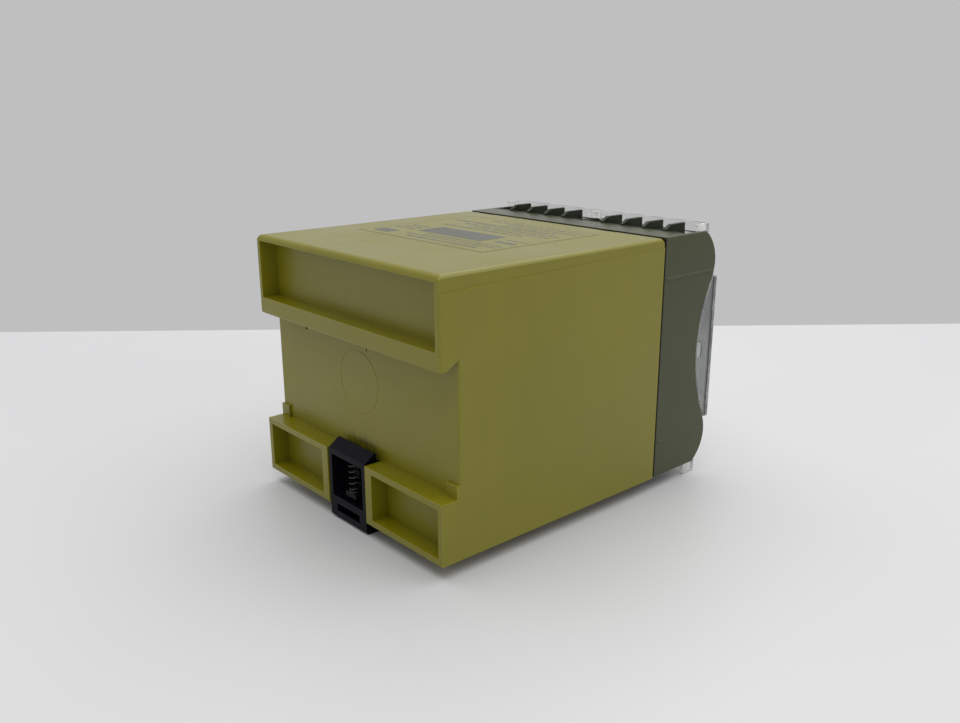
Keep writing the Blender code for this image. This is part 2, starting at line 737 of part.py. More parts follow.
def terminal_screw(row, group, number):
    """Slotted clamping screw, turned about its own axis."""
    name = f"terminal_screw_{group_name(row, group)}_{number + 1}"
    place = world(terminal_x(group, number), SCREW_HEAD_D, row_z(SCREW_Z, row))
    profile = [
        (0.0, 0.0),
        (SCREW_HEAD_RADIUS - 0.4, 0.0),
        (SCREW_HEAD_RADIUS, -0.5),
        (SCREW_HEAD_RADIUS, -1.9),
        (SCREW_SHANK_RADIUS, -1.9),
        (SCREW_SHANK_RADIUS, -7.2),
        (0.0, -7.2),
    ]
    screw = turned(name, profile, place, 14)
    slot = block(name + "_slot", (-4.0, 4.0), (SCREW_HEAD_D - 1.0, SCREW_HEAD_D + 1.0), (-0.5, 0.5))
    slot.location = place
    cut(screw, slot)
    shade(screw)
    return paint(screw, (0.55, 0.54, 0.50), 0.3, 1.0)


def terminal_cover(row, group):
    """Clear cover over five terminals, with a raised edge and a screwdriver hole for each."""
    name = "terminal_cover_" + group_name(row, group)
    centre = MIDDLE + BULGE_RISE
    middle = group * GROUP_CENTRE
    top = HEIGHT + COVER_PROUD[row]
    outer_low = math.asin((COVER_START_Z - centre) / COVER_OUTER)
    inner_low = math.asin((COVER_START_Z - centre) / COVER_INNER)
    outer_high = math.acos((COVER_LIP_D[1] - BULGE_D) / COVER_OUTER)
    inner_high = math.acos((COVER_LIP_D[0] - BULGE_D) / COVER_INNER)
    points = arc(BULGE_D, centre, COVER_OUTER, outer_low, outer_high, 9)
    points += [(COVER_LIP_D[1], top), (COVER_LIP_D[0], top)]
    points += arc(BULGE_D, centre, COVER_INNER, inner_high, inner_low, 9)
    outline = [(d, row_z(z, row)) for d, z in points]
    cover = outline_solid(name, outline, (middle - COVER_HALF, middle + COVER_HALF))
    for side, label in ((-1, "a"), (1, "b")):
        edge = middle + side * COVER_HALF
        xs = sorted((edge, edge - side * 0.9))
        end_z = sorted(row_z(z, row) for z in (HEIGHT + GAP, top))
        end = block(f"{name}_end_{label}", xs, (COVER_END_D, COVER_LIP_D[0] + 0.5), end_z)
        add(cover, end)
    for number in range(PER_GROUP):
        place = world(terminal_x(group, number), 114.0, row_z(SCREW_Z, row))
        cut(cover, cylinder(f"{name}_hole_{number + 1}", place, DRIVER_HOLE, 6.0, 14))
    shade(cover)
    return paint(cover, (0.80, 0.82, 0.80), 0.08, 0.0, 0.35)


# ---------------------------------------------------------------- controls


def setting_knob(label, x):
    """Setting knob with its shaft: a skirt, a fluted grip and a pointer slot."""
    name = f"{label}_knob"
    place = world(x, KNOB_D[1], KNOB_Z)
    tall = KNOB_D[1] - KNOB_D[0]
    profile = [
        (0.0, 0.0),
        (KNOB_RADIUS - 1.7, 0.0),
        (KNOB_RADIUS - 1.3, -0.4),
        (KNOB_RADIUS - 1.0, -tall + 1.6),
        (KNOB_RADIUS, -tall + 1.2),
        (KNOB_RADIUS, -tall),
        (SHAFT_RADIUS, -tall),
        (SHAFT_RADIUS, SHAFT_END - KNOB_D[1]),
        (0.0, SHAFT_END - KNOB_D[1]),
    ]
    knob = turned(name, profile, place, 24)
    slot_d = (KNOB_D[1] - 1.0, KNOB_D[1] + 1.0)
    slot = block(name + "_slot", (-0.5, 0.5), slot_d, (KNOB_Z - 1.0, KNOB_Z + 8.0))
    slot.location.x = place.x
    cut(knob, slot)
    shade(knob)
    return paint(knob, (0.02, 0.02, 0.022), 0.4)


def status_lens(label, x):
    """Light pipe from a lamp on the front board to the front plate."""
    place = world(x, 104.3, LENS_Z)
    profile = [
        (0.0, 0.0),
        (LENS_RADIUS * 0.7, -0.3),
        (LENS_RADIUS, -1.0),
        (LENS_RADIUS, -7.2),
        (0.0, -7.2),
    ]
    lens = turned(f"{label}_lens", profile, place, 12)
    shade(lens)
    return paint(lens, (0.05, 0.35, 0.10), 0.2)


def control_body(label, x):
    """Body of the potentiometer or the selector switch on the front board."""
    body_d = (FRONT_BOARD_D + BOARD + GAP, CENTRE_WALL_D[0] - GAP)
    body = block(f"{label}_control", (x - 6.0, x + 6.0), body_d, (KNOB_Z - 6.0, KNOB_Z + 6.0), 0.4)
    return paint(body, (0.03, 0.06, 0.14), 0.5)


# ---------------------------------------------------------------- electronics


def circuit_boards():
    wide = (-BOARD_HALF, BOARD_HALF)
    looks = ((0.02, 0.10, 0.035), 0.45)
    lower = block("lower_board", wide, BOARD_D, (LOWER_BOARD_Z, LOWER_BOARD_Z + BOARD))
    upper = block("upper_board", wide, BOARD_D, (UPPER_BOARD_Z, UPPER_BOARD_Z + BOARD))
    front_d = (FRONT_BOARD_D, FRONT_BOARD_D + BOARD)
    front = block("front_board", FRONT_BOARD_X, front_d, FRONT_BOARD_Z)
    for board in (lower, upper, front):
        paint(board, *looks)


def on_lower_board():
    return LOWER_BOARD_Z + BOARD + GAP


def transformer():
    """Laminated core with two windows, and the winding on its middle leg."""
    x0, x1 = CORE_X
    d0, d1 = CORE_D
    z0 = on_lower_board()
    z1 = z0 + CORE_TALL
    core = block("transformer_core", (x0, x1), (d0, d1), (z0, z1), 0.3)
    middle = (x0 + x1) / 2
    window_z = (z0 + CORE_LEG, z1 - CORE_LEG)
    for side, label in ((1, "left"), (-1, "right")):
        xs = sorted((middle + side * CORE_LEG, middle + side * (CORE_LEG + CORE_WINDOW)))
        cut(core, block(f"core_window_{label}", xs, (d0 - 5.0, d1 + 5.0), window_z))
    paint(core, (0.10, 0.10, 0.11), 0.5, 0.8)
    wrap_half = CORE_LEG + WINDING_OUTER
    wrap_x = (middle - wrap_half, middle + wrap_half)
    wrap_d = (d0 - WINDING_OUTER, d1 + WINDING_OUTER)
    wrap_z = (window_z[0] + GAP, window_z[1] - GAP)
    winding = block("transformer_winding", wrap_x, wrap_d, wrap_z, 1.2)
    hole_x = (middle - CORE_LEG - GAP, middle + CORE_LEG + GAP)
    hole_z = (wrap_z[0] - 2.0, wrap_z[1] + 2.0)
    cut(winding, block("winding_hole", hole_x, (d0 - GAP, d1 + GAP), hole_z))
    paint(winding, (0.30, 0.17, 0.03), 0.5)


def relays():
    z0 = on_lower_board()
    for number in range(3):
        x = RELAY_FIRST_X + number * RELAY_PITCH
        xs = (x - RELAY_HALF, x + RELAY_HALF)
        relay = block(f"output_relay_{number + 1}", xs, RELAY_D, (z0, z0 + RELAY_TALL), 0.8)
        paint(relay, (0.02, 0.02, 0.025), 0.4)


def capacitors():
    z0 = on_lower_board()
    for number, (x, d, radius, tall) in enumerate(CAPACITORS):
        name = f"capacitor_{number + 1}"
        can = cylinder(name, world(x, d, z0 + tall / 2), radius, tall, 20, "Z")
        add_bevel(can, 0.8, 2, 60.0)
        shade(can)
        paint(can, (0.02, 0.03, 0.06), 0.35)


def small_parts():
    """Two chips under the upper board, and the surge protector at the supply input."""
    chip_top = UPPER_BOARD_Z - GAP
    for number, x in enumerate(CHIPS_X):
        xs = (x - CHIP_HALF, x + CHIP_HALF)
        chip = block(f"timing_chip_{number + 1}", xs, CHIP_D, (chip_top - CHIP_TALL, chip_top))
        paint(chip, (0.015, 0.015, 0.017), 0.45)
    x, d = DISC_PLACE
    place = world(x, d, on_lower_board() + DISC_RADIUS + 0.2)
    disc = cylinder("surge_disc", place, DISC_RADIUS, DISC_THICK, 16)
    paint(disc, (0.03, 0.10, 0.35), 0.4)


def board_link():
    """Flat cable that joins the two boards near the back of the housing."""
    link = block("board_link", LINK_X, LINK_D, (on_lower_board(), UPPER_BOARD_Z - GAP))
    return paint(link, (0.35, 0.35, 0.36), 0.5)


def build():
    for leftover in list(bpy.data.objects):
        bpy.data.objects.remove(leftover)
    bpy.context.scene.collection.children.link(parts)
    bpy.context.scene.collection.children.link(cutters)
    rear_housing()
    type_label()
    rail_latch()
    spring_seat()
    latch_spring()
    front_housing()
    front_plate()
    front_window()
    for row in ("top", "bottom"):
        for group in (1, -1):
            terminal_strip(row, group)
            terminal_cover(row, group)
            for number in range(PER_GROUP):
                terminal_screw(row, group, number)
    for label, x in knob_places():
        setting_knob(label, x)
        control_body(label, x)
    for label, x in lens_places():
        status_lens(label, x)
    circuit_boards()
    transformer()
    relays()
    capacitors()
    small_parts()
    board_link()


build()
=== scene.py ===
"""Looks of a din rail timer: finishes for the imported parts, the small pieces that are only seen,
a pale floor, soft studio light and the camera.

Lengths below are millimetres, as in the part's drawing: x across, d the depth from the rail side
towards the window, z the height from the underside of the housing. MM turns them into metres.
"""

import math
import random

import bmesh
import bpy
from mathutils import Euler, Matrix, Vector

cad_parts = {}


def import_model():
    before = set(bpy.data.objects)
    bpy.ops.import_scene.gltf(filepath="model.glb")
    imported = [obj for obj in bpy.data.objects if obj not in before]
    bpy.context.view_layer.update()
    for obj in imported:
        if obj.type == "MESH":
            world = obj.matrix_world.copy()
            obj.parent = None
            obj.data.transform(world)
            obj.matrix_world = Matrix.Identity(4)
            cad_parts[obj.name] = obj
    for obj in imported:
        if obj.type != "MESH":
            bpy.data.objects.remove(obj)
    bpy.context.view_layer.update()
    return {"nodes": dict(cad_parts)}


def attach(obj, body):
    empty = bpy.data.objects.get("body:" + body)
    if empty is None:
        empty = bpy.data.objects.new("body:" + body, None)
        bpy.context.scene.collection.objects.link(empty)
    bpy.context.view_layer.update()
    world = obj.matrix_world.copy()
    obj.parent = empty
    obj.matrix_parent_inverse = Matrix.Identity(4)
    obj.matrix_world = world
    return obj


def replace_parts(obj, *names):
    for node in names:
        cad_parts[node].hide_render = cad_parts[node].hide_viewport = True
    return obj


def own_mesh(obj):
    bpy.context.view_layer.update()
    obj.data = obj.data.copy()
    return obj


MM = 0.001
BACK_Y = 57.75
BASE = 4.4
HEIGHT = 78.0
SEAM_END = 88.6  # depth up to which painted seam shade reaches onto the cheeks

# Camera: place in metres, turn in degrees, lens in millimetres on a 36 mm sensor.
CAMERA_PLACE = (-0.21229, 0.1921, 0.12441)
CAMERA_TURN = (73.535, 0.108, -131.430)
CAMERA_LENS = 34.16
SENSOR_WIDTH = 36.0

# Floor and light, in metres and watts. The floor ends at a straight edge behind the object, as
# seen from the camera.
FLOOR_NORMAL = (-0.768, 0.640)
FLOOR_EDGE = -0.200
FLOOR_REACH = 8.0
FLOOR_THICKNESS = 0.02
ROOM_COLOUR = (0.985, 0.985, 1.0, 1.0)
ROOM_STRENGTH = 0.53
LIT_POINT = (0, 0, 0.04)

# Terminals.
ROWS = ("top", "bottom")
SIDES = (("left", 1), ("right", -1))
PITCH = 8.7
PER_GROUP = 5
GROUP_CENTRE = 22.2
SCREW_Z = 69.8

# Wire clamps: a pressure plate with two lips, and a contact bar. HALF is half the width, HOLE is
# half the width of the square hole, and CLAMP_Z is counted from the screw's axis.
CLAMP_Z = (-3.2, 3.4)
CLAMP_D = (103.1, 103.8)
CLAMP_HALF = 3.1
CLAMP_HOLE = 1.9
LIP_D = (102.2, 103.3)
LIP_WIDTH = 0.6
BAR_D = (100.0, 101.2)
BAR_HALF = 3.2
BAR_HOLE = 1.8

# Front plate and settings.
PLATE_FRONT = 103.2
KNOB_Z = 41.0
KNOB_X = 17.0
KNOB_BACK = 104.0
KNOB_FRONT = 110.2
SHAFT_BACK = 100.6
SHAFT_RADIUS = 1.6
KNOB_SEGMENTS = 96
KNOB_FLUTES = 16
FLUTE_DEPTH = 0.35
DIALS = ((-KNOB_X, 150, 11), (KNOB_X, 75, 6))  # x, half turn in degrees, count of numbers
TICK_RADII = (6.4, 7.6)
TICK_HALF = 0.15
NUMBER_RADIUS = 9.3
NUMBER_SIZE = 2.2
RULE_HALF = 12.5
RULE_Z = (27.3, 27.6)
LENS_PITCH = 9.0
LENS_COUNT = 3
LENS_MARK_HALF = 2.0
LENS_MARK_Z = (58.0, 58.6)

# Print on the type label.
LABEL_X = (-26.6, 32.2)
LABEL_D = (30.1, 77.55)
LABEL_LINE = 0.25
LABEL_BLOCKS = ((-12.0, 18.0, 42.0, 53.0), (21.5, 29.5, 33.0, 38.0))  # x0, x1, d0, d1
LABEL_ROWS = (  # d, height of the bars, x0, x1
    (33.0, 1.5, -20.0, 12.0),
    (36.4, 1.0, -24.5, 16.0),
    (39.0, 1.0, -24.5, 10.0),
    (42.5, 1.1, 20.5, 30.0),
    (45.5, 1.1, 20.5, 30.0),
    (48.5, 1.1, 20.5, 29.0),
    (44.0, 2.4, -24.0, -15.0),
    (49.0, 1.1, -24.5, -15.0),
    (57.0, 1.2, -14.0, 24.0),
    (60.2, 1.2, -22.0, 14.0),
    (63.4, 1.2, -23.0, 20.0),
    (66.6, 1.6, -18.0, 28.0),
    (70.4, 1.1, -24.0, 8.0),
    (73.6, 1.1, -24.0, 18.0),
)
BAR_LENGTHS = (1.2, 5.2)
BAR_GAPS = (0.5, 1.1)

# Clear pieces: where their outer surfaces begin.
RIM_X = 44.6
RIM_D = 114.2
SIDE_PLATE_X = 43.4
COVER_END_X = 42.6
COVER_INNER_X = 1.75

# Latch spring, between the seat on the housing and the upper edge of the latch's window.
SPRING_D = 3.1
SPRING_LOW = 5.7
SPRING_HIGH = 16.3
SPRING_TURNS = 7.0
SPRING_CLOSED = 0.8  # turns that lie flat at each end
SPRING_RADIUS = 1.6
SPRING_ROOM = 0.05  # between the coil and its seats
WIRE_RADIUS = 0.24

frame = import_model()
NODES = frame["nodes"]


def world(x, d, z):
    """A point of the device as world coordinates in metres."""
    return Vector((x, BACK_Y - d, BASE + z)) * MM


def row_z(z, row):
    """Mirrors a height of the upper terminal row into the lower one."""
    return z if row == "top" else HEIGHT - z


# ---------------------------------------------------------------- materials


class Look:
    """A Principled material that is being put together from texture nodes, in object metres."""

    def __init__(self, name):
        self.material = bpy.data.materials.new(name)
        self.material.use_nodes = True
        self.tree = self.material.node_tree
        self.shader = self.tree.nodes["Principled BSDF"]
        self.place = self.node("ShaderNodeTexCoord").outputs["Object"]

    def node(self, kind, inputs=None, **settings):
        made = self.tree.nodes.new(kind)
        for name, value in settings.items():
            setattr(made, name, value)
        for key, value in (inputs or {}).items():
            self.feed(made.inputs[key], value)
        return made

    def feed(self, socket, value):
        if isinstance(value, bpy.types.NodeSocket):
            self.tree.links.new(value, socket)
        else:
            socket.default_value = value

    def set(self, **values):
        """Sets or links the shader's own sockets; underscores stand for spaces."""
        for name, value in values.items():
            self.feed(self.shader.inputs[name.replace("_", " ")], value)
        return self

    def noise(self, scale, detail=2.0, stretch=(1.0, 1.0, 1.0)):
        """Noise with scale cells in a metre, stretched along the axes."""
        spread = self.node("ShaderNodeMapping", {"Vector": self.place, "Scale": stretch})
        inputs = {"Vector": spread.outputs["Vector"], "Scale": scale, "Detail": detail}
        return self.node("ShaderNodeTexNoise", inputs).outputs["Fac"]

    def between(self, value, low, high, to_low=0.0, to_high=1.0):
        """Maps low..high onto to_low..to_high, and holds it there."""
        inputs = {0: value, 1: low, 2: high, 3: to_low, 4: to_high}
        return self.node("ShaderNodeMapRange", inputs, clamp=True).outputs["Result"]

    def calc(self, operation, first, second=0.0):
        inputs = {0: first, 1: second}
        return self.node("ShaderNodeMath", inputs, operation=operation).outputs["Value"]

    def mix(self, share, first, second):
        """Mixes two colours, each a tuple of three numbers or a socket."""
        made = self.node("ShaderNodeMix", data_type="RGBA")
        self.feed(made.inputs[0], share)
        for index, colour in ((6, first), (7, second)):
            if isinstance(colour, tuple):
                colour = (*colour, 1.0)
            self.feed(made.inputs[index], colour)
        return made.outputs[2]

    def bump(self, height, depth, under=None):
        """A bump of depth millimetres, on top of another one."""
        inputs = {"Height": height, "Distance": depth * MM, "Strength": 1.0}
        if under is not None:
            inputs["Normal"] = under
        return self.node("ShaderNodeBump", inputs).outputs["Normal"]

    def axis(self, name):
        """X, Y or Z of the place, in metres."""
        return self.node("ShaderNodeSeparateXYZ", {"Vector": self.place}).outputs[name]

    def bands(self, scale, distortion, direction):
        """Stripes that follow each other along X, Y or Z."""
        inputs = {"Vector": self.place, "Scale": scale, "Distortion": distortion}
        made = self.node("ShaderNodeTexWave", inputs, bands_direction=direction)
        return made.outputs["Fac"]

    def edges(self, radius):
        """1 along the object's edges and 0 on open ground, within radius millimetres."""
        rounded = self.node("ShaderNodeBevel", {"Radius": radius * MM}, samples=6)
        true = self.node("ShaderNodeNewGeometry").outputs["Normal"]
        inputs = {0: rounded.outputs["Normal"], 1: true}
        facing = self.node("ShaderNodeVectorMath", inputs, operation="DOT_PRODUCT")
        return self.between(facing.outputs["Value"], 0.98, 0.75)

    def upward(self):
        """1 on faces that look up and 0 on the others."""
        normal = self.node("ShaderNodeNewGeometry").outputs["True Normal"]
        height = self.node("ShaderNodeSeparateXYZ", {"Vector": normal}).outputs["Z"]
        return self.between(height, 0.85, 0.98)

    def near(self, place, reach):
        """1 at a place of the device and 0 from reach millimetres on; reach is a triple."""
        offset = self.node("ShaderNodeVectorMath", {0: self.place, 1: place}, operation="SUBTRACT")
        inputs = {0: offset.outputs["Vector"], 1: tuple(1 / (part * MM) for part in reach)}
        scaled = self.node("ShaderNodeVectorMath", inputs, operation="MULTIPLY").outputs["Vector"]
        far = self.node("ShaderNodeVectorMath", {0: scaled}, operation="LENGTH").outputs["Value"]
        return self.between(far, 1.0, 0.2)

    def corners(self, reach):
        """1 deep in the object's inner corners and 0 on open ground, within reach millimetres."""
        inputs = {"Distance": reach * MM}
        seen = self.node("ShaderNodeAmbientOcclusion", inputs, samples=6, only_local=True)
        return self.between(seen.outputs["AO"], 0.6, 0.15)


def tone(colour, factor):
    return tuple(min(1.0, part * factor) for part in colour)


def moulded(
    name, colour, worn_and_highlight, roughness=0.42, grain=0.012, streaks=0.05, corner_dust_and_shade=None, gloss=0.5, stain_and_shade=None
):
    """Moulded plastic: fine spark-eroded grain, faint flow streaks, rubbed edges that also carry a
    painted edge highlight, and corners darkened by dust and painted shade.

    The last argument is a function that gives a socket, 1 where painted shade is laid on: the
    shade in the seam and the shadow on the wall above the latch. Faces that look up have been
    handled and are smoother.
    """
    look = Look(name)
    clouds = look.between(look.noise(22.0, 3.0), 0.3, 0.7)
    flow = look.between(look.noise(160.0, 2.0, (1.0, 1.0, 0.06)), 0.3, 0.7)
    speckle = look.noise(1400.0, 2.0)
    base = look.mix(clouds, tone(colour, 0.95), tone(colour, 1.05))
    base = look.mix(look.calc("MULTIPLY", flow, streaks), base, tone(colour, 1.5))
    base = look.mix(look.between(speckle, 0.35, 0.75, 0.0, 0.10), base, tone(colour, 0.6))
    scuffs = look.between(look.noise(75.0, 5.0, (1.0, 1.0, 2.2)), 0.735, 0.78, 0.0, 0.5)
    base = look.mix(scuffs, base, tone(colour, 0.45))
    # Corners found by ambient occlusion are darkened: dust, and painted shade where shade falls.
    if corner_dust_and_shade is not None:
        uneven = look.between(clouds, 0.1, 0.9, 0.35, 0.8)
        base = look.mix(look.calc("MULTIPLY", look.corners(2.2), uneven), base, corner_dust_and_shade)
    # Rubbed edges are painted lighter: wear, and a painted highlight along the edges.
    wear = look.between(look.noise(220.0), 0.3, 0.6, 0.35, 1.0)
    rubbed_and_lit = look.calc("MULTIPLY", look.edges(0.55), wear)
    base = look.mix(look.calc("MULTIPLY", rubbed_and_lit, 0.7), base, worn_and_highlight)
    # Painted shade: near-black laid on where the function given last marks shade or shadow.
    if stain_and_shade is not None:
        base = look.mix(stain_and_shade(look), base, PAINTED_SHADE)
    smears = look.between(look.noise(48.0, 4.0), 0.25, 0.75, roughness - 0.06, roughness + 0.07)
    handled = look.calc("MULTIPLY", look.upward(), 0.10)
    smooth = look.calc("ADD", look.calc("MULTIPLY", rubbed_and_lit, 0.1), handled)
    look.set(Base_Color=base, Roughness=look.calc("SUBTRACT", smears, smooth))
    waves = look.bump(look.noise(60.0, 1.0), 0.05)
    fine = look.bump(look.noise(2600.0, 2.0), grain, waves)
    look.set(Normal=look.bump(look.noise(900.0, 2.0), grain * 0.8, fine), Specular_IOR_Level=gloss)
    return look.material


def clear(name, tint, haze=0.05, frosted=None, painted_grey=None):
    """Clear moulded plastic with smears and fine scratches, which lets the lamps through.

    Its edges catch the light. Frosted is a function that gives a socket, 1 where the plastic is
    matt; the last argument is a function that gives a socket, 1 where grey is painted in for the
    dark interior seen through the plastic.
    """
    look = Look(name)
    smears = look.between(look.noise(55.0, 4.0), 0.45, 0.8, haze, haze + 0.10)
    scratch = look.noise(900.0, 2.0, (1.0, 1.0, 0.03))
    marks = look.between(scratch, 0.66, 0.72, 0.0, 0.12)
    frost = look.calc("MULTIPLY", look.edges(0.3), 0.75)
    if frosted is not None:
        uneven = look.between(look.noise(240.0, 3.0), 0.3, 0.7, 0.3, 0.6)
        frost = look.calc("MAXIMUM", frost, look.calc("MULTIPLY", frosted(look), uneven))
    body = look.mix(look.between(look.noise(30.0), 0.3, 0.7), tint, tone(tint, 0.97))
    # Painted grey, standing in for the dark interior seen through the plastic.
    if painted_grey is not None:
        body = look.mix(painted_grey(look), body, SEEN_THROUGH_GREY)
    look.set(Base_Color=look.mix(frost, body, tone(tint, 0.95)), IOR=1.49)
    rough = look.calc("ADD", look.calc("ADD", smears, marks), look.calc("MULTIPLY", frost, 0.3))
    look.set(Roughness=rough, Transmission_Weight=look.between(frost, 0.0, 1.0, 1.0, 0.25))
    look.set(Normal=look.bump(look.noise(70.0, 2.0), 0.04))
    shadow = look.node("ShaderNodeLightPath").outputs["Is Shadow Ray"]
    open_way = look.node("ShaderNodeBsdfTransparent", {"Color": (*tone(tint, 0.9), 1.0)})
    joined = look.node("ShaderNodeMixShader", {0: shadow})
    look.feed(joined.inputs[1], look.shader.outputs["BSDF"])
    look.feed(joined.inputs[2], open_way.outputs["BSDF"])
    look.feed(look.tree.nodes["Material Output"].inputs["Surface"], joined.outputs["Shader"])
    return look.material


def beyond(look, across, depth=0.0):
    """1 farther out than across, on either side, and farther forward than depth."""
    outside = look.calc("GREATER_THAN", look.calc("ABSOLUTE", look.axis("X")), across * MM)
    forward = look.calc("LESS_THAN", look.axis("Y"), (BACK_Y - depth) * MM)
    return look.calc("MULTIPLY", outside, forward)


def window_rim(look):
    """The side edges of the window's front plate."""
    return beyond(look, RIM_X, RIM_D)


def window_sides(look):
    """The window's two side plates, where grey is painted in for the dark interior seen through
    them.
    """
    return beyond(look, SIDE_PLATE_X)


def cover_ends(look):
    """The two ends of a terminal cover, the outer one and the one near the middle."""
    inner = look.calc("LESS_THAN", look.calc("ABSOLUTE", look.axis("X")), COVER_INNER_X * MM)
    return look.calc("MAXIMUM", inner, beyond(look, COVER_END_X))


def metal(name, colour, stain_and_shade, roughness=0.28, stretch=(1.0, 6.0, 1.0)):
    """Plated or drawn metal with fine lines, stains and a little tarnish in the corners."""
    look = Look(name)
    lines = look.noise(2200.0, 2.0, stretch)
    stains = look.between(look.noise(260.0, 4.0), 0.45, 0.75)
    base = look.mix(look.between(lines, 0.3, 0.7), tone(colour, 0.86), colour)
    base = look.mix(look.calc("MULTIPLY", stains, 0.45), base, stain_and_shade)
    base = look.mix(look.calc("MULTIPLY", look.corners(0.8), 0.5), base, tone(stain_and_shade, 0.4))
    rough = look.between(look.noise(500.0, 3.0), 0.3, 0.7, roughness - 0.07, roughness + 0.12)
    look.set(Base_Color=base, Roughness=rough, Metallic=1.0, Normal=look.bump(lines, 0.012))
    return look.material


def printed(name, colour, roughness=0.5):
    """Thin ink or foil with slightly uneven cover."""
    look = Look(name)
    cover = look.between(look.noise(700.0, 4.0), 0.3, 0.7)
    look.set(Base_Color=look.mix(cover, tone(colour, 0.82), tone(colour, 1.12)))
    smears = look.between(look.noise(120.0), 0.3, 0.7, roughness - 0.08, roughness + 0.08)
    look.set(Roughness=smears)
    look.set(Normal=look.bump(look.noise(1500.0, 2.0), 0.006))
    return look.material


def coil_tape(name, colour):
    """Transformer tape over wound wire."""
    look = Look(name)
    turns = look.bands(420.0, 1.5, "Z")
    base = look.mix(look.between(turns, 0.2, 0.8), tone(colour, 0.7), tone(colour, 1.15))
    dark = look.between(look.noise(120.0, 3.0), 0.4, 0.8, 0.0, 0.4)
    base = look.mix(dark, base, tone(colour, 0.4))
    look.set(Base_Color=base, Roughness=0.33, Normal=look.bump(turns, 0.05))
    return look.material


def laminations(name, colour):
    """Stacked sheet steel of a transformer core, with spots of rust."""
    look = Look(name)
    sheets = look.bands(320.0, 0.3, "Y")
    base = look.mix(look.between(sheets, 0.1, 0.9), tone(colour, 0.6), tone(colour, 1.2))
    rust = look.between(look.noise(190.0, 5.0), 0.58, 0.72, 0.0, 0.6)
    base = look.mix(rust, base, (0.12, 0.045, 0.018))
    look.set(Base_Color=base, Metallic=look.between(rust, 0.0, 0.6, 0.85, 0.1))
    look.set(Roughness=0.46, Normal=look.bump(sheets, 0.05))
    return look.material


def solder_mask(name, colour):
    """Circuit board: green mask over a web of tracks, with its glass weave."""
    look = Look(name)
    inputs = {"Vector": look.place, "Scale": 190.0}
    settings = {"distance": "MANHATTAN", "feature": "DISTANCE_TO_EDGE"}
    cells = look.node("ShaderNodeTexVoronoi", inputs, **settings)
    tracks = look.between(cells.outputs["Distance"], 0.05, 0.09)
    squares = look.node("ShaderNodeTexChecker", {"Vector": look.place, "Scale": 2400.0})
    weave = squares.outputs["Fac"]
    base = look.mix(tracks, tone(colour, 1.7), colour)
    base = look.mix(look.calc("MULTIPLY", weave, 0.12), base, tone(colour, 0.6))
    look.set(Base_Color=base, Roughness=look.between(look.noise(90.0), 0.3, 0.7, 0.25, 0.4))
    look.set(Normal=look.bump(tracks, 0.03))
    return look.material


def latch_soot(look):
    """Painted shadow on the wall above the latch's nose, broken up by noise."""
    patch = look.near(tuple(world(-1.5, 6.0, 19.5)), (13.0, 3.0, 4.6))
    broken = look.between(look.noise(330.0, 4.0), 0.35, 0.62)
    return look.calc("MULTIPLY", look.calc("MULTIPLY", patch, broken), 0.85)


def seam_grime(look):
    """Painted shade: a dark line where the cheeks meet the housing, where shade falls in the seam.
    """
    start = (BACK_Y - SEAM_END) * MM
    return look.between(look.axis("Y"), start - 0.15 * MM, start + 0.05 * MM, 0.0, 0.9)


YELLOW = (0.190, 0.170, 0.003)
# Near-black of the painted shade in the seam and the painted shadow above the latch.
PAINTED_SHADE = (0.020, 0.019, 0.015)
# Lighter yellow of rubbed edges, also a painted edge highlight.
YELLOW_WORN_AND_LIT = (0.33, 0.31, 0.006)
# Dark brown of the corners: dust and painted shade.
YELLOW_DUST_AND_SHADE = (0.085, 0.058, 0.012)
OLIVE = (0.038, 0.044, 0.009)
OLIVE_WORN = (0.085, 0.095, 0.035)
# Dark olive of the corners: dust and painted shade.
OLIVE_DUST_AND_SHADE = (0.035, 0.035, 0.018)
# Grey painted into the window's side plates for the dark seen through them.
SEEN_THROUGH_GREY = (0.27, 0.28, 0.27)
DARK_OLIVE = (0.012, 0.018, 0.005)
DARK_OLIVE_WORN = (0.035, 0.045, 0.015)
LATCH = (0.0035, 0.0035, 0.006)
# Bluish edges of the latch: wear and a painted rim highlight.
LATCH_WORN_AND_LIT = (0.022, 0.024, 0.036)

housing_yellow = moulded(
    "housing_yellow", YELLOW, YELLOW_WORN_AND_LIT, 0.35, corner_dust_and_shade=YELLOW_DUST_AND_SHADE, stain_and_shade=latch_soot
)
housing_olive = moulded(
    "housing_olive", OLIVE, OLIVE_WORN, 0.36, corner_dust_and_shade=OLIVE_DUST_AND_SHADE, gloss=0.45, stain_and_shade=seam_grime
)
terminal_olive = moulded("terminal_olive", DARK_OLIVE, DARK_OLIVE_WORN, 0.42, gloss=0.25)
latch_black = moulded("latch_black", LATCH, LATCH_WORN_AND_LIT, 0.36, streaks=0.02, gloss=0.08)
window_clear = clear("window_clear", (0.93, 0.94, 0.93), 0.05, window_rim, window_sides)
cover_clear = clear("cover_clear", (0.95, 0.96, 0.94), 0.05, cover_ends)
spring_steel = metal("spring_steel", (0.085, 0.078, 0.082), (0.10, 0.035, 0.012), 0.42)
screw_metal = metal("screw_metal", (0.66, 0.64, 0.58), (0.42, 0.36, 0.24), 0.26)
clamp_metal = metal("clamp_metal", (0.60, 0.59, 0.56), (0.40, 0.36, 0.28), 0.32, (5.0, 1.0, 1.0))
label_foil = moulded("label_foil", tone(YELLOW, 1.04), YELLOW_WORN_AND_LIT, 0.36, grain=0.003)
label_ink = printed("label_ink", (0.105, 0.105, 0.085))
plate_grey = printed("plate_grey", (0.42, 0.42, 0.38), 0.48)
plate_ink = printed("plate_ink", (0.02, 0.02, 0.022), 0.4)
knob_black = moulded("knob_black", (0.020, 0.020, 0.022), (0.08, 0.08, 0.085), 0.35, streaks=0.0)
knob_mark = printed("knob_mark", (0.72, 0.71, 0.66), 0.42)
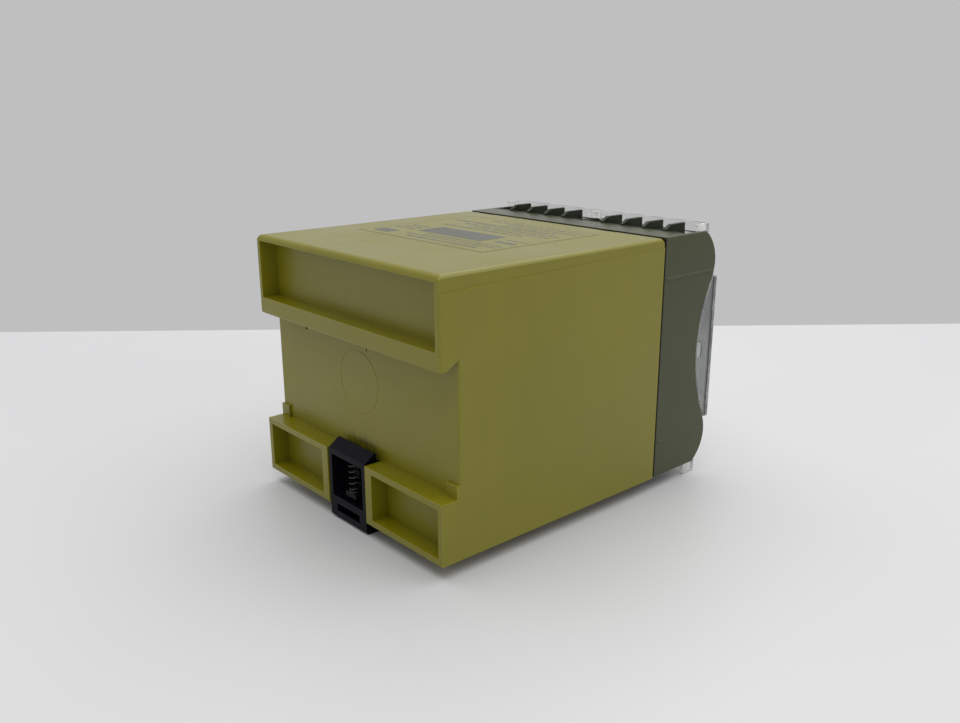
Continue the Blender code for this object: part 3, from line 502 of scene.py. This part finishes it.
lens_green = clear("lens_green", (0.10, 0.62, 0.20), 0.12)
control_blue = moulded("control_blue", (0.03, 0.07, 0.17), (0.08, 0.14, 0.28), 0.42)
board_green = solder_mask("board_green", (0.018, 0.095, 0.035))
core_steel = laminations("core_steel", (0.20, 0.20, 0.21))
winding_tape = coil_tape("winding_tape", (0.42, 0.26, 0.05))
relay_black = moulded("relay_black", (0.022, 0.022, 0.026), (0.07, 0.07, 0.08), 0.38)
capacitor_sleeve = printed("capacitor_sleeve", (0.02, 0.03, 0.07), 0.32)
disc_blue = printed("disc_blue", (0.03, 0.10, 0.33), 0.38)
cable_grey = moulded("cable_grey", (0.34, 0.34, 0.35), (0.45, 0.45, 0.45), 0.46, streaks=0.12)


def finish_node(name, material):
    """Gives a CAD node its finish."""
    slots = NODES[name].data.materials
    slots.clear()
    slots.append(material)


FINISHES = {
    "rear_housing": housing_yellow,
    "front_housing": housing_olive,
    "type_label": label_foil,
    "rail_latch": latch_black,
    "spring_seat": latch_black,
    "latch_spring": spring_steel,
    "front_plate": plate_grey,
    "front_window": window_clear,
    "time_knob": knob_black,
    "range_knob": knob_black,
    "time_control": control_blue,
    "range_control": control_blue,
    "lower_board": board_green,
    "upper_board": board_green,
    "front_board": board_green,
    "transformer_core": core_steel,
    "transformer_winding": winding_tape,
    "surge_disc": disc_blue,
    "board_link": cable_grey,
}
FINISH_BEGINNINGS = {
    "terminal_strip": terminal_olive,
    "terminal_cover": cover_clear,
    "terminal_screw": screw_metal,
    "status": lens_green,
    "output_relay": relay_black,
    "timing_chip": relay_black,
    "capacitor": capacitor_sleeve,
}


def finish_nodes():
    for name in NODES:
        material = FINISHES.get(name)
        for beginning, shared in FINISH_BEGINNINGS.items():
            if name.startswith(beginning):
                material = shared
        finish_node(name, material)


# ---------------------------------------------------------------- small pieces


def piece(name, shape, material, body):
    """Turns a bmesh into a piece that rides on a body."""
    bmesh.ops.recalc_face_normals(shape, faces=shape.faces)
    mesh = bpy.data.meshes.new(name)
    shape.to_mesh(mesh)
    shape.free()
    mesh.materials.append(material)
    mesh.shade_smooth()
    mesh.set_sharp_from_angle(angle=math.radians(35))
    made = bpy.data.objects.new(name, mesh)
    bpy.context.scene.collection.objects.link(made)
    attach(made, body)
    return made


def add_box(shape, xs, ds, zs, bevel=0.0):
    """Adds a box between two values of x, d and z to a bmesh, with slightly rounded edges."""
    low = world(xs[0], ds[1], zs[0])
    high = world(xs[1], ds[0], zs[1])
    made = bmesh.ops.create_cube(shape, size=1.0)["verts"]
    bmesh.ops.scale(shape, vec=high - low, verts=made)
    bmesh.ops.translate(shape, vec=(low + high) / 2, verts=made)
    if bevel:
        edges = {edge for vert in made for edge in vert.link_edges}
        bmesh.ops.bevel(shape, geom=list(edges), offset=bevel * MM, segments=2, affect="EDGES")


def add_turned(shape, profile, x, z, segments, flutes, flute_depth):
    """Adds a body turned about the line (x, z), from (radius, d, fluted share) points."""
    rings = []
    for radius, d, share in profile:
        if radius == 0:
            rings.append([shape.verts.new(world(x, d, z))])
            continue
        ring = []
        for i in range(segments):
            angle = 2 * math.pi * i / segments
            groove = max(0.0, math.cos(angle * flutes)) ** 2
            r = radius - flute_depth * share * groove
            point = world(x + r * math.sin(angle), d, z + r * math.cos(angle))
            ring.append(shape.verts.new(point))
        rings.append(ring)
    for first, second in zip(rings, rings[1:]):
        for i in range(segments):
            quad = [first[i % len(first)], first[(i + 1) % len(first)]]
            quad += [second[(i + 1) % len(second)], second[i % len(second)]]
            corners = list(dict.fromkeys(quad))
            if len(corners) > 2:
                shape.faces.new(corners)


def knob(name, x, body):
    """Fluted setting knob with a skirt and a white pointer let into its face."""
    shape = bmesh.new()
    profile = [
        (0.0, KNOB_FRONT, 0),
        (0.6, KNOB_FRONT, 0),
        (3.4, KNOB_FRONT, 0),
        (3.9, KNOB_FRONT - 0.15, 0.2),
        (4.1, KNOB_FRONT - 0.6, 1),
        (4.3, KNOB_FRONT - 2.5, 1),
        (4.5, KNOB_BACK + 1.6, 1),
        (4.7, KNOB_BACK + 1.35, 0.2),
        (5.3, KNOB_BACK + 1.2, 0),
        (5.5, KNOB_BACK + 0.9, 0),
        (5.5, KNOB_BACK, 0),
        (SHAFT_RADIUS, KNOB_BACK, 0),
        (SHAFT_RADIUS, SHAFT_BACK, 0),
        (0.0, SHAFT_BACK, 0),
    ]
    add_turned(shape, profile, x, KNOB_Z, KNOB_SEGMENTS, KNOB_FLUTES, FLUTE_DEPTH)
    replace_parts(piece(name + "_grip", shape, knob_black, body), name)
    mark = bmesh.new()
    mark_d = (KNOB_FRONT - 0.3, KNOB_FRONT + 0.06)
    add_box(mark, (x - 0.35, x + 0.35), mark_d, (KNOB_Z + 0.8, KNOB_Z + 3.5), 0.05)
    piece(name + "_pointer", mark, knob_mark, body)


def text_mesh(words, size, x, z, d):
    """Numbers on the scale plate as a thin raised mesh, read from the front."""
    curve = bpy.data.curves.new("scale_number", "FONT")
    curve.body = words
    curve.size = size * MM
    curve.align_x = "CENTER"
    curve.align_y = "CENTER"
    curve.extrude = 0.02 * MM
    drawn = bpy.data.objects.new("scale_number", curve)
    turn = Matrix.Rotation(math.radians(90), 4, "X")
    place = Matrix.Translation(world(x, d, z)) @ turn
    bpy.context.scene.collection.objects.link(drawn)
    bpy.context.view_layer.update()
    evaluated = drawn.evaluated_get(bpy.context.evaluated_depsgraph_get())
    mesh = bpy.data.meshes.new_from_object(evaluated)
    mesh.transform(place)
    bpy.data.objects.remove(drawn)
    return mesh


def scale_print():
    """Ticks and numbers round both knobs, a rule below them and marks over the status lights."""
    shape = bmesh.new()
    front = PLATE_FRONT + 0.03
    ink = (PLATE_FRONT - 0.05, front)
    for x, half_turn, count in DIALS:
        for i in range(count):
            degrees = -half_turn + 2 * half_turn * i / (count - 1)
            angle = math.radians(degrees)
            made = bmesh.new()
            add_box(made, (-TICK_HALF, TICK_HALF), ink, TICK_RADII)
            mesh = bpy.data.meshes.new("tick")
            made.to_mesh(mesh)
            made.free()
            centre = world(0, 0, 0)
            spin = Matrix.Translation(world(x, 0, KNOB_Z)) @ Matrix.Rotation(angle, 4, "Y")
            mesh.transform(spin @ Matrix.Translation(-centre))
            shape.from_mesh(mesh)
            bpy.data.meshes.remove(mesh)
            number_x = x + NUMBER_RADIUS * math.sin(angle)
            number_z = KNOB_Z + NUMBER_RADIUS * math.cos(angle)
            mesh = text_mesh(str(i), NUMBER_SIZE, number_x, number_z, front)
            shape.from_mesh(mesh)
            bpy.data.meshes.remove(mesh)
    for x in (-KNOB_X, KNOB_X):
        add_box(shape, (x - RULE_HALF, x + RULE_HALF), ink, RULE_Z)
    for i in range(LENS_COUNT):
        x = (i - (LENS_COUNT - 1) / 2) * LENS_PITCH
        add_box(shape, (x - LENS_MARK_HALF, x + LENS_MARK_HALF), ink, LENS_MARK_Z)
    piece("scale_print", shape, plate_ink, "housing")


def label_print():
    """Generic rows of short bars, two dark blocks and a thin border on the type label."""
    shape = bmesh.new()
    dice = random.Random(7)
    ink_z = (HEIGHT - 0.05, HEIGHT + 0.045)

    def bar(x0, x1, d0, d1):
        add_box(shape, (x0, x1), (d0, d1), ink_z)

    (left, right), (back, front) = LABEL_X, LABEL_D
    bar(left, right, back, back + LABEL_LINE)
    bar(left, right, front - LABEL_LINE, front)
    bar(left, left + LABEL_LINE, back + LABEL_LINE, front - LABEL_LINE)
    bar(right - LABEL_LINE, right, back + LABEL_LINE, front - LABEL_LINE)
    for block in LABEL_BLOCKS:
        bar(*block)
    for d, tall, x, end in LABEL_ROWS:
        while x < end - 1.0:
            length = min(dice.uniform(*BAR_LENGTHS), end - x)
            bar(x, x + length, d, d + tall)
            x += length + dice.uniform(*BAR_GAPS)
    piece("label_print", shape, label_ink, "housing")


def spring():
    """Smooth coil spring with closed ends, which the latch presses together."""
    steps, sides = 26, 8
    count = int(SPRING_TURNS * steps)
    low = SPRING_LOW + WIRE_RADIUS + SPRING_ROOM
    high = SPRING_HIGH - WIRE_RADIUS - SPRING_ROOM
    climbing = SPRING_TURNS - 2 * SPRING_CLOSED
    shape = bmesh.new()
    rings = []
    for i in range(count + 1):
        turned = SPRING_TURNS * i / count
        angle = 2 * math.pi * turned
        # The end turns lie flat against their seats.
        climbed = min(1.0, max(0.0, (turned - SPRING_CLOSED) / climbing))
        outwards = Vector((math.cos(angle), math.sin(angle), 0.0))
        centre = outwards * SPRING_RADIUS + Vector((0, 0, low + (high - low) * climbed))
        ring = []
        for k in range(sides):
            turn = 2 * math.pi * k / sides
            offset = outwards * math.cos(turn) + Vector((0, 0, math.sin(turn)))
            point = centre + offset * WIRE_RADIUS
            ring.append(shape.verts.new(world(0, SPRING_D, 0) + point * MM))
        rings.append(ring)
    for first, second in zip(rings, rings[1:]):
        for k in range(sides):
            after = (k + 1) % sides
            shape.faces.new((first[k], first[after], second[after], second[k]))
    shape.faces.new(rings[0])
    shape.faces.new(list(reversed(rings[-1])))
    coil = piece("latch_coil", shape, spring_steel, "housing")
    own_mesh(coil)
    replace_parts(coil, "latch_spring")


def add_holed_plate(shape, x, z, half, hole, ds, zs, bevel):
    """Adds a plate with a square hole round a screw, as four boxes."""
    for x0, x1 in ((x - half, x - hole), (x + hole, x + half)):
        add_box(shape, (x0, x1), ds, zs, bevel)
    inner = hole + 0.1
    for z0, z1 in ((zs[0], z - hole), (z + hole, zs[1])):
        add_box(shape, (x - inner, x + inner), ds, (z0, z1), bevel)


def wire_clamps():
    """Pressure plate with turned-up edges under each screw, on a threaded contact bar."""
    for row in ROWS:
        z = row_z(SCREW_Z, row)
        zs = sorted(row_z(SCREW_Z + end, row) for end in CLAMP_Z)
        for side, sign in SIDES:
            for number in range(PER_GROUP):
                x = sign * (GROUP_CENTRE + (number - (PER_GROUP - 1) / 2) * PITCH)
                shape = bmesh.new()
                add_holed_plate(shape, x, z, CLAMP_HALF, CLAMP_HOLE, CLAMP_D, zs, 0.15)
                for edge in (x - CLAMP_HALF, x + CLAMP_HALF - LIP_WIDTH):
                    add_box(shape, (edge, edge + LIP_WIDTH), LIP_D, zs, 0.12)
                add_holed_plate(shape, x, z, BAR_HALF, BAR_HOLE, BAR_D, zs, 0.2)
                name = f"wire_clamp_{row}_{side}_{number + 1}"
                piece(name, shape, clamp_metal, "housing")


# ---------------------------------------------------------------- floor, light and camera


def floor():
    """A big pale table top with a straight edge behind the object."""
    look = Look("pale_floor")
    clouds = look.between(look.noise(3.0, 3.0), 0.3, 0.7)
    base = look.mix(clouds, (0.600, 0.600, 0.608), (0.625, 0.625, 0.63))
    specks = look.between(look.noise(90.0, 4.0), 0.72, 0.78, 0.0, 0.12)
    base = look.mix(specks, base, (0.55, 0.54, 0.52))
    look.set(Base_Color=base, Roughness=look.between(clouds, 0.0, 1.0, 0.42, 0.52))
    look.set(Normal=look.bump(look.noise(40.0, 3.0), 0.05), Specular_IOR_Level=0.35)
    away = Vector((FLOOR_NORMAL[0], FLOOR_NORMAL[1], 0.0)).normalized()
    along = Vector((-away.y, away.x, 0.0))
    edge = away * FLOOR_EDGE
    far = edge + away * FLOOR_REACH
    shape = bmesh.new()
    corners = (
        edge - along * FLOOR_REACH,
        edge + along * FLOOR_REACH,
        far + along * FLOOR_REACH,
        far - along * FLOOR_REACH,
    )
    top = [shape.verts.new(corner) for corner in corners]
    under = [shape.verts.new(corner - Vector((0, 0, FLOOR_THICKNESS))) for corner in corners]
    shape.faces.new(top)
    shape.faces.new(list(reversed(under)))
    for i in range(4):
        shape.faces.new((top[i], under[i], under[(i + 1) % 4], top[(i + 1) % 4]))
    bmesh.ops.recalc_face_normals(shape, faces=shape.faces)
    mesh = bpy.data.meshes.new("floor")
    shape.to_mesh(mesh)
    shape.free()
    mesh.materials.append(look.material)
    made = bpy.data.objects.new("floor", mesh)
    bpy.context.scene.collection.objects.link(made)


def soft_lamp(name, place, size, power):
    """A rectangular lamp that looks at the object."""
    lamp = bpy.data.lights.new(name, "AREA")
    lamp.shape = "RECTANGLE"
    lamp.size = size[0]
    lamp.size_y = size[1]
    lamp.energy = power
    made = bpy.data.objects.new(name, lamp)
    made.location = place
    made.rotation_euler = (Vector(LIT_POINT) - Vector(place)).to_track_quat("-Z", "Y").to_euler()
    bpy.context.scene.collection.objects.link(made)


def light():
    room = bpy.data.worlds.new("studio")
    room.use_nodes = True
    background = room.node_tree.nodes["Background"]
    background.inputs["Color"].default_value = ROOM_COLOUR
    background.inputs["Strength"].default_value = ROOM_STRENGTH
    bpy.context.scene.world = room
    soft_lamp("overhead", place=(-0.02, -0.22, 1.35), size=(2.4, 2.4), power=27.0)
    soft_lamp("side", place=(-1.3, -0.25, 0.55), size=(0.9, 0.7), power=0.7)


def camera():
    made = bpy.data.cameras.new("camera")
    made.lens = CAMERA_LENS
    made.sensor_width = SENSOR_WIDTH
    made.clip_start = 0.01
    holder = bpy.data.objects.new("camera", made)
    holder.location = CAMERA_PLACE
    holder.rotation_euler = Euler([math.radians(angle) for angle in CAMERA_TURN])
    bpy.context.scene.collection.objects.link(holder)
    bpy.context.scene.camera = holder


finish_nodes()
label_print()
spring()
wire_clamps()
scale_print()
knob("time_knob", -KNOB_X, "time_setting")
knob("range_knob", KNOB_X, "range_setting")
floor()
light()
camera()
bpy.context.scene.view_settings.view_transform = "Standard"
bpy.context.view_layer.update()
